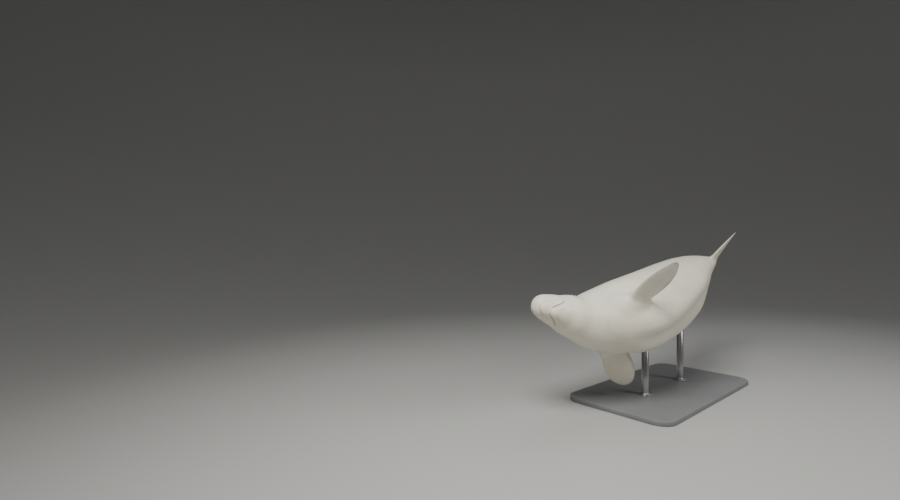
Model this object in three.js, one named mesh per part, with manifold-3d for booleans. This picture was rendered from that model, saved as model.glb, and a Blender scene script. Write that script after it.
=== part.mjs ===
// A life-size beluga whale, banked with its left side up, on a display stand. Millimetres, +Z up.
import * as THREE from "three";
import { mergeVertices } from "three/addons/utils/BufferGeometryUtils.js";
import Module from "manifold-3d";

// Sizes of the straight animal. t runs back from the snout along the body, y to its left, z to its back.
const bodyLength = 3975;
const faceGap = 0.35;
const sectionPower = 2.15;
// Each station: t, height of the back, depth of the belly, half width
const stations = [
  [210, 105, 95, 90],
  [335, 177, 183, 158],
  [480, 208, 228, 204],
  [650, 262, 277, 267],
  [880, 302, 345, 312],
  [1180, 340, 416, 371],
  [1580, 381, 408, 380],
  [2030, 383, 376, 368],
  [2480, 340, 327, 303],
  [2930, 265, 234, 213],
  [3330, 191, 153, 132],
  [3650, 130, 98, 77],
  [3850, 76, 58, 45],
  [3975, 16, 14, 16],
];

// Folds and ridges of blubber along the body
const backRidge = { from: 1750, to: 2750, rise: 26, spread: 0.13 };
const bellyFold = { from: 850, to: 2900, rise: 24, at: 0.42, spread: 0.2, trough: 30, troughSpread: 0.15 };
// The fold swings to the left as the body twists
const foldDrift = { from: 1200, to: 2200, angle: 0.35 };

// The head's masses: centre (t, y, z) and radii
const headCentre = 330;
const melon = { at: [139, 0, 55], radii: [157, 117, 94], power: 2.24 };
const skull = { at: [363, 0, 8], radii: [220, 162, 190] };
const upperLip = { at: [153, 0, -29], radii: [142, 79, 56] };
const lowerJaw = { at: [215, 0, -120], radii: [157, 76, 52] };
const cheeks = { at: [296, 0, -64], radii: [134, 139, 104] };
const shoulder = { at: [1015, 250, -125], radii: [215, 92, 96] };
const blend = { brow: 127, lips: 9, cheek: 62, crease: 21, neck: 105, collar: 70, shoulder: 80 };

const mouth = { tip: 55, corner: 259, halfWidth: 135, height: -93, sag: 3, smile: 51, groove: 5 };
const eye = { t: 369, y: 178, z: 3, radius: 18, sunk: 9.5 };
const lid = { halfLength: 22, halfHeight: 15.5, thickness: 6.5 };
const blowhole = { t: 425, y: 12, halfWidth: 34, sweep: 24, groove: 5.5, rim: 9 };

// The bends of the body: turn to the left, lift of the nose and roll to the right, in degrees
const heading = { turn: -146.5, lift: -4, roll: 58.7 };
const neckBend = { from: 880, to: 430, turn: 16.7, lift: 13.9, roll: 16.9 };
const backBend = { from: 1030, to: 2530, turn: -6.2, lift: -14.4, roll: -3.7 };
const tailBend = { from: 2430, to: 3730, turn: 9.4, lift: 2.1, roll: 0 };
const fixedPoint = 1010;

// The lengths of the trunk behind the head, from the snout, each with its count of rings
const headEnd = 505;
const trunk = {
  neck: { to: 850, rings: 6 },
  torso_front: { to: 1700, rings: 10 },
  torso_rear: { to: 2650, rings: 8 },
  tail_stock: { to: 3960, rings: 13 },
};
const around = 44;

const flipper = {
  t: 1032,
  angle: 63.5,
  length: 517,
  halfWidth: 159,
  rootShare: 0.75,
  bow: 0.05,
  upturn: 30,
  rootThickness: 74,
  tipThickness: 12,
  sunk: 0.2,
  flare: 34,
  flareSpread: 26,
};
const flipperSet = {
  left: { side: 1, sweep: 5.1, droop: 15.6, twist: -16.2, back: 0 },
  right: { side: -1, sweep: 31.6, droop: 30.8, twist: -26, back: 14 },
};
const fluke = {
  halfSpan: 480,
  leadFrom: 3585,
  leadTo: 3965,
  notch: 3962,
  lobe: 102,
  rootThickness: 66,
  tipThickness: 7,
  droop: 14,
  flare: 14,
  flareSpread: 22,
};

const stand = {
  length: 2300,
  width: 1150,
  corner: 170,
  thickness: 50,
  bevel: 6,
  clearance: 130,
  rodRadius: 38,
  rodAt: [1640, 2560],
  collarRadius: 74,
  collarHeight: 14,
};

const colours = { skin: 0xe9e4d6, eye: 0x14110f, base: 0x4a4d50, rod: 0x8f9396 };

const wasm = await Module();
wasm.setup();
const degrees = Math.PI / 180;
const tiny = 1e-9;

function ramp(x, from, to) {
  const u = Math.min(1, Math.max(0, (x - from) / (to - from)));
  return u * u * (3 - 2 * u);
}

function bump(x, spread) {
  return Math.exp(-(x * x) / (2 * spread * spread));
}

// A smooth curve through one column of the stations
function along(column, t) {
  const last = stations.length - 1;
  const x = Math.min(stations[last][0], Math.max(stations[0][0], t));
  let i = 0;
  while (i < last - 1 && x > stations[i + 1][0]) i += 1;
  const slope = (k) => {
    const j = Math.min(last - 1, Math.max(0, k));
    return (stations[j + 1][column] - stations[j][column]) / (stations[j + 1][0] - stations[j][0]);
  };
  const tangent = (k) => {
    if (k === 0 || k === last) return slope(k);
    const before = stations[k][0] - stations[k - 1][0];
    const after = stations[k + 1][0] - stations[k][0];
    return (slope(k) * before + slope(k - 1) * after) / (before + after);
  };
  const step = stations[i + 1][0] - stations[i][0];
  const u = (x - stations[i][0]) / step;
  const a = stations[i][column];
  const b = stations[i + 1][column];
  const p = tangent(i) * step;
  const q = tangent(i + 1) * step;
  return a + u * (p + u * (3 * (b - a) - 2 * p - q + u * (2 * (a - b) + p + q)));
}

// Distance from the body's axis to the skin. The angle runs from the belly line towards the left side.
function sectionRadius(t, angle) {
  const up = -Math.cos(angle);
  const height = up > 0 ? along(1, t) : along(2, t);
  const width = along(3, t);
  const side = Math.abs(Math.sin(angle) / width) ** sectionPower;
  const plain = (side + Math.abs(up / height) ** sectionPower) ** (-1 / sectionPower);
  const offBack = Math.PI - Math.abs(angle);
  const back = ramp(t, backRidge.from, backRidge.from + 350) * (1 - ramp(t, backRidge.to - 500, backRidge.to));
  const belly = ramp(t, bellyFold.from, bellyFold.from + 500) * (1 - ramp(t, bellyFold.to - 700, bellyFold.to));
  const off = angle - foldDrift.angle * ramp(t, foldDrift.from, foldDrift.to);
  const folds =
    bellyFold.rise * (bump(off - bellyFold.at, bellyFold.spread) + bump(off + bellyFold.at, bellyFold.spread)) -
    bellyFold.trough * bump(off, bellyFold.troughSpread);
  return plain + back * backRidge.rise * bump(offBack, backRidge.spread) + belly * folds;
}

// Distance to a rounded mass. A power over 2 makes it blunter than an ellipsoid.
function toMass([t, y, z], { at, radii, power = 2 }, side = 1) {
  const q = [t - at[0], y - side * at[1], z - at[2]].map((v, i) => Math.abs(v / radii[i]) + tiny);
  const near = (q[0] ** power + q[1] ** power + q[2] ** power) ** (1 / power);
  const slope = Math.hypot(...q.map((v, i) => (v / near) ** (power - 1) / radii[i]));
  return (near - 1) / slope;
}

function join(a, b, width) {
  const h = Math.min(1, Math.max(0, 0.5 + (b - a) / (2 * width)));
  return b * (1 - h) + a * h - width * h * (1 - h);
}

// Below zero inside the animal, above zero outside
function skinField(p) {
  const [t, y, z] = p;
  const top = join(toMass(p, melon), toMass(p, skull), blend.brow);
  const lips = join(toMass(p, upperLip), toMass(p, lowerJaw), blend.lips);
  const jaw = join(lips, toMass(p, cheeks), blend.cheek);
  const head = join(top, jaw, blend.crease);
  const tube = Math.hypot(y, z) - sectionRadius(t, Math.atan2(y, -z));
  const collar = -join(-tube, t - headCentre, blend.collar);
  const body = join(head, collar, blend.neck);
  const pads = Math.min(toMass(p, shoulder), toMass(p, shoulder, -1));
  return join(body, pads, blend.shoulder);
}

// The skin point met by a ray from a point of the axis
function skinPoint(t, direction) {
  let inner = 2;
  let outer = 700;
  for (let i = 0; i < 34; i += 1) {
    const middle = (inner + outer) / 2;
    const p = [t + direction[0] * middle, direction[1] * middle, direction[2] * middle];
    if (skinField(p) < 0) inner = middle;
    else outer = middle;
  }
  return new THREE.Vector3(t + direction[0] * inner, direction[1] * inner, direction[2] * inner);
}

// The skin point in line with a point given by its own t, y and z
function onSkin(t, y, z) {
  const from = Math.max(t, headCentre);
  const d = new THREE.Vector3(t - from, y, z).normalize();
  return skinPoint(from, [d.x, d.y, d.z]);
}

function skinNormal(p) {
  const e = 1;
  const at = (x, y, z) => skinField([p.x + x, p.y + y, p.z + z]);
  const slope = (x, y, z) => at(x, y, z) - at(-x, -y, -z);
  return new THREE.Vector3(slope(e, 0, 0), slope(0, e, 0), slope(0, 0, e)).normalize();
}

function turned({ turn, lift, roll }, share = 1) {
  const q = new THREE.Quaternion().setFromAxisAngle(new THREE.Vector3(0, 0, 1), turn * share * degrees);
  q.multiply(new THREE.Quaternion().setFromAxisAngle(new THREE.Vector3(0, -1, 0), lift * share * degrees));
  const ahead = new THREE.Vector3(1, 0, 0);
  return q.multiply(new THREE.Quaternion().setFromAxisAngle(ahead, roll * share * degrees));
}

// The frame of the body at t: the bends add up before the heading is applied
function frameAt(t) {
  const sum = { turn: 0, lift: 0, roll: 0 };
  for (const bend of [neckBend, backBend, tailBend]) {
    const share = bend.from < bend.to ? ramp(t, bend.from, bend.to) : 1 - ramp(t, bend.to, bend.from);
    for (const key of Object.keys(sum)) sum[key] += bend[key] * share;
  }
  return turned(heading).multiply(turned(sum));
}

// The bent axis, walked in short steps both ways from the fixed point
const axisStep = 10;
const axisCount = Math.ceil((bodyLength + 300) / axisStep);
const axisFrames = [];
const axisPoints = [new THREE.Vector3()];
for (let i = 0; i <= axisCount; i += 1) {
  axisFrames.push(frameAt(i * axisStep));
  if (i > 0) {
    const ahead = new THREE.Vector3(1, 0, 0).applyQuaternion(frameAt((i - 0.5) * axisStep));
    axisPoints.push(axisPoints[i - 1].clone().addScaledVector(ahead, -axisStep));
  }
}
const fixed = axisPoints[Math.round(fixedPoint / axisStep)].clone();
for (const point of axisPoints) point.sub(fixed);

// Carries a point of the straight animal to its place on the bent one
function posed(p) {
  const t = Math.min(Math.max(p.x, 0), axisCount * axisStep - 1);
  const i = Math.floor(t / axisStep);
  const share = t / axisStep - i;
  const local = new THREE.Vector3(p.x === t ? 0 : t - p.x, p.y, p.z);
  const at = (k) => local.clone().applyQuaternion(axisFrames[k]).add(axisPoints[k]);
  return at(i).lerp(at(i + 1), share);
}

// Closed solids from rings of points. The first and last rings are closed by a fan round their middles.
function solidFromRings(rings) {
  const count = rings[0].length;
  const middle = (ring) => ring.reduce((sum, p) => sum.add(p), new THREE.Vector3()).divideScalar(ring.length);
  const points = rings.flat().concat(middle(rings[0]), middle(rings.at(-1)));
  const first = rings.length * count;
  const triangles = [];
  for (let r = 0; r < rings.length - 1; r += 1) {
    for (let k = 0; k < count; k += 1) {
      const a = r * count + k;
      const b = r * count + ((k + 1) % count);
      triangles.push(a, b, a + count, b, b + count, a + count);
    }
  }
  for (let k = 0; k < count; k += 1) {
    const next = (k + 1) % count;
    triangles.push(first, next, k, first + 1, first - count + k, first - count + next);
  }
  return solidOf(points, triangles);
}

function solidOf(points, triangles) {
  const vertProperties = new Float32Array(points.length * 3);
  points.forEach((p, i) => vertProperties.set([p.x, p.y, p.z], i * 3));
  const made = (triVerts) => new wasm.Manifold(new wasm.Mesh({ numProp: 3, vertProperties, triVerts }));
  const solid = made(new Uint32Array(triangles));
  if (solid.volume() > 0) return solid;
  for (let i = 0; i < triangles.length; i += 3) {
    [triangles[i], triangles[i + 1]] = [triangles[i + 1], triangles[i]];
  }
  return made(new Uint32Array(triangles));
}

function solidFromGeometry(geometry) {
  geometry.deleteAttribute("normal");
  geometry.deleteAttribute("uv");
  const merged = mergeVertices(geometry, 1e-3);
  const position = merged.attributes.position;
  const corner = (_, i) => new THREE.Vector3().fromBufferAttribute(position, i);
  const points = Array.from({ length: position.count }, corner);
  return solidOf(points, Array.from(merged.index.array));
}

function largest(solid) {
  return solid.decompose().reduce((best, piece) => (piece.volume() > best.volume() ? piece : best));
}

const meshes = [];

function addMesh(name, solid, colour, roughness, metalness = 0) {
  const made = largest(solid).getMesh();
  const position = new Float32Array(made.numVert * 3);
  for (let i = 0; i < made.numVert; i += 1) {
    position.set(made.vertProperties.subarray(i * made.numProp, i * made.numProp + 3), i * 3);
  }
  const geometry = new THREE.BufferGeometry();
  geometry.setAttribute("position", new THREE.BufferAttribute(position, 3));
  geometry.setIndex(new THREE.BufferAttribute(made.triVerts, 1));
  geometry.computeVertexNormals();
  const material = new THREE.MeshStandardMaterial({ color: colour, roughness, metalness });
  const mesh = new THREE.Mesh(geometry, material);
  mesh.name = name;
  meshes.push(mesh);
}

function steps(from, to, count) {
  return Array.from({ length: count + 1 }, (_, i) => from + ((to - from) * i) / count);
}

// One ring of skin at t, and one round the snout at a polar angle from the axis
function bodyRing(t, grow = 0) {
  return steps(0, 2 * Math.PI, around).slice(0, around).map((angle) => {
    const direction = [0, Math.sin(angle), -Math.cos(angle)];
    const p = skinPoint(t, direction);
    return posed(p.addScaledVector(new THREE.Vector3(...direction), grow));
  });
}

function snoutRing(polar, grow = 0) {
  return steps(0, 2 * Math.PI, around).slice(0, around).map((angle) => {
    const out = Math.sin(polar);
    const direction = [-Math.cos(polar), out * Math.sin(angle), -out * Math.cos(angle)];
    const p = skinPoint(headCentre, direction);
    return posed(p.addScaledVector(new THREE.Vector3(...direction), grow));
  });
}

function trunkPiece(from, { to, rings }, grow = 0) {
  const places = steps(from + faceGap, to, rings);
  places[0] -= grow;
  places[rings] += grow;
  return solidFromRings(places.map((t) => bodyRing(t, grow)));
}

function headPiece(grow = 0) {
  const snout = steps(5, 90, 15).slice(0, 15).map((polar) => snoutRing(polar * degrees, grow));
  const rear = steps(headCentre, headEnd, 4).map((t) => bodyRing(t, grow));
  return solidFromRings([...snout, ...rear]);
}

// A round tube along a curve of skin points, closed at both ends
function tubeAlong(points, radius, sides) {
  const path = new THREE.CatmullRomCurve3(points);
  const section = new THREE.Shape().absarc(0, 0, radius, 0, 2 * Math.PI);
  const options = { steps: points.length, bevelEnabled: false, extrudePath: path, curveSegments: sides };
  return solidFromGeometry(new THREE.ExtrudeGeometry(section, options));
}

function mouthPoint(y) {
  const share = (Math.abs(y) / mouth.halfWidth) ** 3;
  const t = mouth.tip + (mouth.corner - mouth.tip) * share;
  return onSkin(t, y, mouth.height - mouth.sag * Math.sin(Math.PI * share) + mouth.smile * share ** 3);
}

function cutMouth(head) {
  const line = steps(-mouth.halfWidth, mouth.halfWidth, 22).map((y) => posed(mouthPoint(y)));
  return head.subtract(tubeAlong(line, mouth.groove, 5));
}

function eyeFrame(side) {
  const at = onSkin(eye.t, side * eye.y, eye.z);
  const out = skinNormal(at);
  const up = new THREE.Vector3(0, 0, 1).addScaledVector(out, -out.z).normalize();
  const ahead = new THREE.Vector3().crossVectors(up, out).normalize();
  return { at, out, up, ahead, centre: at.clone().addScaledVector(out, -eye.sunk) };
}

function eyeBall(side, radius) {
  const geometry = new THREE.SphereGeometry(radius, 14, 9);
  const { centre } = eyeFrame(side);
  const at = posed(centre);
  return solidFromGeometry(geometry.translate(at.x, at.y, at.z));
}

// The lids: a thick almond ring that stands round the eye
function lidRing(side) {
  const { at, out, up, ahead } = eyeFrame(side);
  const rings = steps(0, 2 * Math.PI, 20).slice(0, 20).map((angle) => {
    const across = new THREE.Vector3().addScaledVector(ahead, Math.cos(angle) * lid.halfLength);
    across.addScaledVector(up, Math.sin(angle) * lid.halfHeight * (1 - 0.25 * Math.abs(Math.cos(angle)) ** 3));
    const away = across.clone().normalize();
    const size = lid.thickness * (1 - 0.35 * Math.abs(Math.cos(angle)) ** 2);
    return steps(0, 2 * Math.PI, 6).slice(0, 6).map((turn) => {
      const p = at.clone().add(across);
      p.addScaledVector(away, Math.cos(turn) * size).addScaledVector(out, Math.sin(turn) * size);
      return posed(p);
    });
  });
  return closedLoop(rings);
}

function closedLoop(rings) {
  const count = rings[0].length;
  const triangles = [];
  rings.forEach((_, r) => {
    const next = (r + 1) % rings.length;
    for (let k = 0; k < count; k += 1) {
      const a = r * count + k;
      const b = r * count + ((k + 1) % count);
      const c = next * count + k;
      const d = next * count + ((k + 1) % count);
      triangles.push(a, b, c, b, d, c);
    }
  });
  return solidOf(rings.flat(), triangles);
}

// The blowhole: a crescent slit with a raised rim behind it
function crescent(widen, back) {
  return steps(-1, 1, 7).map((share) => {
    const y = blowhole.y + share * (blowhole.halfWidth + widen);
    const t = blowhole.t + back - blowhole.sweep * share * share;
    return posed(onSkin(t, y, along(1, t)));
  });
}

function addHead() {
  let head = headPiece();
  head = head.add(tubeAlong(crescent(6, 13), blowhole.rim, 6));
  head = head.subtract(tubeAlong(crescent(0, 0), blowhole.groove, 5));
  head = cutMouth(head);
  for (const side of [1, -1]) {
    head = head.add(lidRing(side)).subtract(eyeBall(side, eye.radius + faceGap));
    addMesh(side > 0 ? "eye_left" : "eye_right", eyeBall(side, eye.radius), colours.eye, 0.12);
  }
  addMesh("head", head, colours.skin, 0.5);
}

// The flipper's own frame: out along its span, ahead along its chord, and its upper face
function flipperFrame({ side, sweep, droop, twist, back }) {
  const angle = side * flipper.angle * degrees;
  const root = skinPoint(flipper.t + back, [0, Math.sin(angle), -Math.cos(angle)]);
  const across = Math.cos(sweep * degrees);
  const span = new THREE.Vector3(
    -Math.sin(sweep * degrees),
    side * across * Math.cos(droop * degrees),
    -across * Math.sin(droop * degrees),
  );
  const chord = new THREE.Vector3(1, 0, 0).addScaledVector(span, -span.x).normalize();
  chord.applyAxisAngle(span, side * twist * degrees);
  const upper = new THREE.Vector3().crossVectors(chord, span).multiplyScalar(side);
  return { root, span, chord, upper };
}

function flipperHalfWidth(share) {
  const s = Math.max(0, share);
  const swell = flipper.rootShare + (1 - flipper.rootShare) * Math.sin(Math.PI * Math.min(1, s / 0.9));
  return flipper.halfWidth * swell * Math.sqrt(Math.max(0, 1 - s ** 5));
}

// A section of a fin from the leading edge, over the top and back below: across is 1 in front, -1 behind
function finSection(count) {
  return steps(0, 2 * Math.PI, count).slice(0, count).map((angle) => {
    const across = Math.cos(angle);
    const fromFront = (1 - across) / 2;
    const fromRear = Math.max(0, 1 - fromFront);
    const thick = Math.sin(angle) * (0.42 + 0.95 * Math.sqrt(fromRear) - 0.32 * fromRear);
    return { angle, across, thick: thick * (across < 0 ? 1 - 0.45 * across * across : 1) };
  });
}

// Moves a point of a fin outward where it nears the body, so that the fin grows out of a soft flare
function flared(p, outward, { flare, flareSpread }) {
  const away = Math.max(-12, skinField([p.x, p.y, p.z]));
  return p.addScaledVector(outward, flare * Math.exp(-away / flareSpread));
}

function flipperSolid(set) {
  const { root, span, chord, upper } = flipperFrame(set);
  const backward = new THREE.Vector3(-1, 1, 1);
  const shares = [...steps(-flipper.sunk, 0.84, 12), 0.9, 0.945, 0.975, 0.992];
  const rings = shares.map((share) => {
    const half = flipperHalfWidth(share);
    const s = Math.max(0, share);
    const edge = Math.sqrt(1 - Math.min(1, s) ** 6);
    const depth = ((flipper.rootThickness * (1 - s) ** 1.6) / 2 + flipper.tipThickness) * (0.35 + 0.65 * edge);
    return finSection(18).map(({ angle, across, thick }) => {
      const local = span.clone().multiplyScalar(share * flipper.length);
      local.addScaledVector(chord, across * half - flipper.bow * s * s * flipper.length);
      local.addScaledVector(upper, thick * depth + flipper.upturn * s ** 3);
      const outward = chord.clone().multiplyScalar(0.8 * Math.cos(angle));
      outward.addScaledVector(upper, Math.sin(angle));
      return posed(flared(root.clone().add(local.multiply(backward)), outward.multiply(backward), flipper));
    });
  });
  return solidFromRings(rings);
}

function flukeRing(side, share) {
  const y = share * fluke.halfSpan;
  const s = Math.min(1, Math.max(0, share));
  const lead = fluke.leadFrom + (fluke.leadTo - fluke.leadFrom) * (0.5 * s + 0.5 * s * s);
  const trail = fluke.notch + fluke.lobe * Math.sin(Math.PI * s ** 0.62);
  const tip = Math.sqrt(Math.max(0, 1 - s ** 8));
  const middle = (lead + trail) / 2;
  const half = Math.max(4, (trail - lead) / 2);
  const depth = ((fluke.rootThickness * (1 - s) ** 1.3) / 2 + fluke.tipThickness) * (0.4 + 0.6 * tip);
  return finSection(18).map(({ angle, across, thick }) => {
    const p = new THREE.Vector3(middle - across * half, side * y, thick * depth - fluke.droop * s * s);
    return posed(flared(p, new THREE.Vector3(-Math.cos(angle), 0, Math.sin(angle)), fluke));
  });
}

function addFlukes(stock) {
  for (const side of [1, -1]) {
    const shares = [0.0006, 0.02, 0.06, 0.12, ...steps(0.2, 0.86, 7), 0.91, 0.95, 0.98, 0.995];
    const solid = solidFromRings(shares.map((share) => flukeRing(side, share)));
    addMesh(side > 0 ? "fluke_left" : "fluke_right", solid.subtract(stock), colours.skin, 0.5);
  }
}

function addRod(name, t, floor, body) {
  const at = posed(new THREE.Vector3(t, 0, 0));
  const top = at.z;
  const bottom = floor + faceGap;
  const profile = [
    new THREE.Vector2(0, 0),
    new THREE.Vector2(stand.collarRadius, 0),
    new THREE.Vector2(stand.collarRadius, stand.collarHeight * 0.6),
    new THREE.Vector2(stand.collarRadius - stand.collarHeight * 0.4, stand.collarHeight),
    new THREE.Vector2(stand.rodRadius, stand.collarHeight),
    new THREE.Vector2(stand.rodRadius, top - bottom),
    new THREE.Vector2(0, top - bottom),
  ];
  const geometry = new THREE.LatheGeometry(profile, 24).rotateX(Math.PI / 2).translate(at.x, at.y, bottom);
  addMesh(name, solidFromGeometry(geometry).subtract(body), colours.rod, 0.35, 0.9);
}

function addBase(floor) {
  const front = posed(new THREE.Vector3(stand.rodAt[0], 0, 0));
  const rear = posed(new THREE.Vector3(stand.rodAt[1], 0, 0));
  const middle = front.clone().lerp(rear, 0.5);
  const turn = Math.atan2(front.y - rear.y, front.x - rear.x);
  const x = stand.length / 2 - stand.bevel;
  const y = stand.width / 2 - stand.bevel;
  const r = stand.corner;
  const outline = new THREE.Shape();
  outline.moveTo(x, r - y);
  for (const [i, [cx, cy]] of [[x - r, y - r], [r - x, y - r], [r - x, r - y], [x - r, r - y]].entries()) {
    outline.absarc(cx, cy, r, (i * Math.PI) / 2, ((i + 1) * Math.PI) / 2);
  }
  const options = {
    depth: stand.thickness - 2 * stand.bevel,
    bevelThickness: stand.bevel,
    bevelSize: stand.bevel,
    bevelSegments: 1,
    curveSegments: 5,
  };
  const geometry = new THREE.ExtrudeGeometry(outline, options).rotateZ(turn);
  geometry.translate(middle.x, middle.y, floor - stand.thickness + stand.bevel);
  addMesh("stand_base", solidFromGeometry(geometry), colours.base, 0.6);
}

addHead();

// The trunk's lengths, and the same grown by the gap, which cut what grows from the trunk or holds it up
let from = headEnd;
const grown = [];
for (const [name, length] of Object.entries(trunk)) {
  addMesh(name, trunkPiece(from, length), colours.skin, 0.5);
  grown.push(trunkPiece(from, length, faceGap));
  from = length.to;
}
const grownTrunk = grown.reduce((sum, piece) => sum.add(piece));
for (const [name, set] of Object.entries(flipperSet)) {
  addMesh("flipper_" + name, flipperSolid(set).subtract(grownTrunk), colours.skin, 0.5);
}
addFlukes(grownTrunk);

const animal = new THREE.Box3();
for (const mesh of meshes) animal.expandByObject(mesh);
const baseTop = animal.min.z - stand.clearance;
addBase(baseTop);
stand.rodAt.forEach((t, i) => addRod(["stand_rod_front", "stand_rod_rear"][i], t, baseTop, grownTrunk));

// The origin is the middle of the whole box, at its bottom
const part = new THREE.Group();
part.add(...meshes);
const box = new THREE.Box3().setFromObject(part);
const middle = box.getCenter(new THREE.Vector3());
part.position.set(-middle.x, -middle.y, -box.min.z);

export default part;
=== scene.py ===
import math

import bpy
import numpy as np
from mathutils import Matrix, Quaternion, Vector


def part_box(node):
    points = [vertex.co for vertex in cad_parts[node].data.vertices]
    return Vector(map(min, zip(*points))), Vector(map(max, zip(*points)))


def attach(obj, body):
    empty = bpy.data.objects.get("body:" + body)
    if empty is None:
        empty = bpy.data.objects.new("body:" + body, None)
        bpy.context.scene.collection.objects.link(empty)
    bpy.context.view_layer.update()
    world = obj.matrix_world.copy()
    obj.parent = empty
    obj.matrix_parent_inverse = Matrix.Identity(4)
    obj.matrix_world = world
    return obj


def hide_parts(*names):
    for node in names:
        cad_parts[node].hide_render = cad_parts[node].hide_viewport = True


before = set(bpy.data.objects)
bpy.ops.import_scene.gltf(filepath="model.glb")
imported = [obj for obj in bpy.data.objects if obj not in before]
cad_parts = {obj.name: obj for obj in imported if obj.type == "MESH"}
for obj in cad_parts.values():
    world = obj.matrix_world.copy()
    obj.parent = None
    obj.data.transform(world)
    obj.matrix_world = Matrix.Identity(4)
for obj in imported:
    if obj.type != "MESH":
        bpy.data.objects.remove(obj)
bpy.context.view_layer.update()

scene = bpy.context.scene
random = np.random.default_rng(7)

# The straight whale in millimetres: t runs back from the snout, y to its left, z to its back.
# Each station holds t, the height of the back, the depth of the belly and the half width.
trunk = {
    "stations": [
        [210, 105, 95, 90],
        [335, 177, 183, 158],
        [480, 208, 228, 204],
        [650, 262, 277, 267],
        [880, 302, 345, 312],
        [1180, 340, 416, 371],
        [1580, 381, 408, 380],
        [2030, 383, 376, 368],
        [2480, 340, 327, 303],
        [2930, 265, 234, 213],
        [3330, 191, 153, 132],
        [3650, 130, 98, 77],
        [3850, 76, 58, 45],
        [3975, 16, 14, 16],
    ],
    "power": 2.15,
    "end": 3972,
    # Places along the body and angles round it. Each form grows in and fades out over a length.
    "ridge": {"start": 1750, "end": 2750, "grow": 350, "fade": 500, "rise": 26, "spread": 0.13},
    "fold": {"start": 850, "end": 2900, "grow": 500, "fade": 700, "rise": 24, "at": 0.42, "spread": 0.2},
    "trough": {"depth": 30, "spread": 0.15},
    "drift": {"start": 1200, "end": 2200, "angle": 0.35},  # the fold swings to the left as the body twists
}
head = {
    "centre": 330,
    "reach": 1400,
    "melon": [[139, 0, 55], [157, 117, 94], 2.24],  # centre, radii and power, where 2 is an ellipsoid
    "skull": [[363, 0, 8], [220, 162, 190]],
    "upperLip": [[153, 0, -29], [142, 79, 56]],
    "lowerJaw": [[215, 0, -120], [157, 76, 52]],
    "cheeks": [[296, 0, -64], [134, 139, 104]],
    "shoulder": [[1015, 250, -125], [215, 92, 96]],
    "blend": {"brow": 127, "lips": 9, "cheek": 62, "crease": 21, "neck": 105, "collar": 70, "shoulder": 80},
}
pose = {
    "heading": (-146.5, -4, 58.7),  # turn to the left, lift of the nose and roll to the right, in degrees
    "neck": (880, 430, (16.7, 13.9, 16.9)),
    "back": (1030, 2530, (-6.2, -14.4, -3.7)),
    "tail": (2430, 3730, (9.4, 2.1, 0)),
    "fixedPoint": 1010,
    "step": 2,
}

stations = np.array(trunk["stations"], float)
places = stations[:, 0]
gaps = np.diff(places)[:, None]
slopes = np.diff(stations[:, 1:], axis=0) / gaps
inner = (slopes[1:] * gaps[:-1] + slopes[:-1] * gaps[1:]) / (gaps[:-1] + gaps[1:])
tangents = np.vstack([slopes[:1], inner, slopes[-1:]])


def ramp(x, start, end):
    u = np.clip((x - start) / (end - start), 0, 1)
    return u * u * (3 - 2 * u)


def bump(x, spread):
    return np.exp(-(x * x) / (2 * spread * spread))


def along(column, t):
    x = np.clip(t, places[0], places[-1])
    i = np.clip(np.searchsorted(places, x) - 1, 0, len(places) - 2)
    step = places[i + 1] - places[i]
    u = (x - places[i]) / step
    a, b = stations[i, column], stations[i + 1, column]
    p, q = tangents[i, column - 1] * step, tangents[i + 1, column - 1] * step
    return a + u * (p + u * (3 * (b - a) - 2 * p - q + u * (2 * (a - b) + p + q)))


def stretch(t, form):
    fade = 1 - ramp(t, form["end"] - form["fade"], form["end"])
    return ramp(t, form["start"], form["start"] + form["grow"]) * fade


def sectionRadius(t, angle):
    up = -np.cos(angle)
    height = np.where(up > 0, along(1, t), along(2, t))
    power = trunk["power"]
    side = np.abs(np.sin(angle) / along(3, t)) ** power
    plain = (side + np.abs(up / height) ** power) ** (-1 / power)
    ridge, fold, trough, drift = (trunk[name] for name in ("ridge", "fold", "trough", "drift"))
    off = angle - drift["angle"] * ramp(t, drift["start"], drift["end"])
    folds = fold["rise"] * (bump(off - fold["at"], fold["spread"]) + bump(off + fold["at"], fold["spread"]))
    folds = folds - trough["depth"] * bump(off, trough["spread"])
    back = ridge["rise"] * bump(math.pi - np.abs(angle), ridge["spread"])
    return plain + stretch(t, ridge) * back + stretch(t, fold) * folds


# Distance to a rounded mass given by its centre, radii and power
def toMass(p, mass, side=1):
    at, radii, power = (mass + [2])[:3]
    q = np.abs((p - np.array([at[0], side * at[1], at[2]])) / radii) + 1e-9
    near = (q**power).sum(-1) ** (1 / power)
    slope = (q / near[..., None]) ** (power - 1) / radii
    return (near - 1) / np.sqrt((slope * slope).sum(-1))


def join(a, b, width):
    h = np.clip(0.5 + (b - a) / (2 * width), 0, 1)
    return b * (1 - h) + a * h - width * h * (1 - h)


# The two halves of the head that meet in the crease above the upper lip
def headMasses(p):
    blend = head["blend"]
    top = join(toMass(p, head["melon"]), toMass(p, head["skull"]), blend["brow"])
    lips = join(toMass(p, head["upperLip"]), toMass(p, head["lowerJaw"]), blend["lips"])
    return top, join(lips, toMass(p, head["cheeks"]), blend["cheek"])


# Below zero inside the animal, above zero outside
def skinField(p):
    t, y, z = p[..., 0], p[..., 1], p[..., 2]
    tube = np.hypot(y, z) - sectionRadius(t, np.arctan2(y, -z))
    blend = head["blend"]
    body = -join(-tube, t - head["centre"], blend["collar"])
    front = t < head["reach"]
    if front.any():
        f = p[front]
        top, jaw = headMasses(f)
        whole = join(join(top, jaw, blend["crease"]), body[front], blend["neck"])
        pads = np.minimum(toMass(f, head["shoulder"]), toMass(f, head["shoulder"], -1))
        body[front] = join(whole, pads, blend["shoulder"])
    return body


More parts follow.
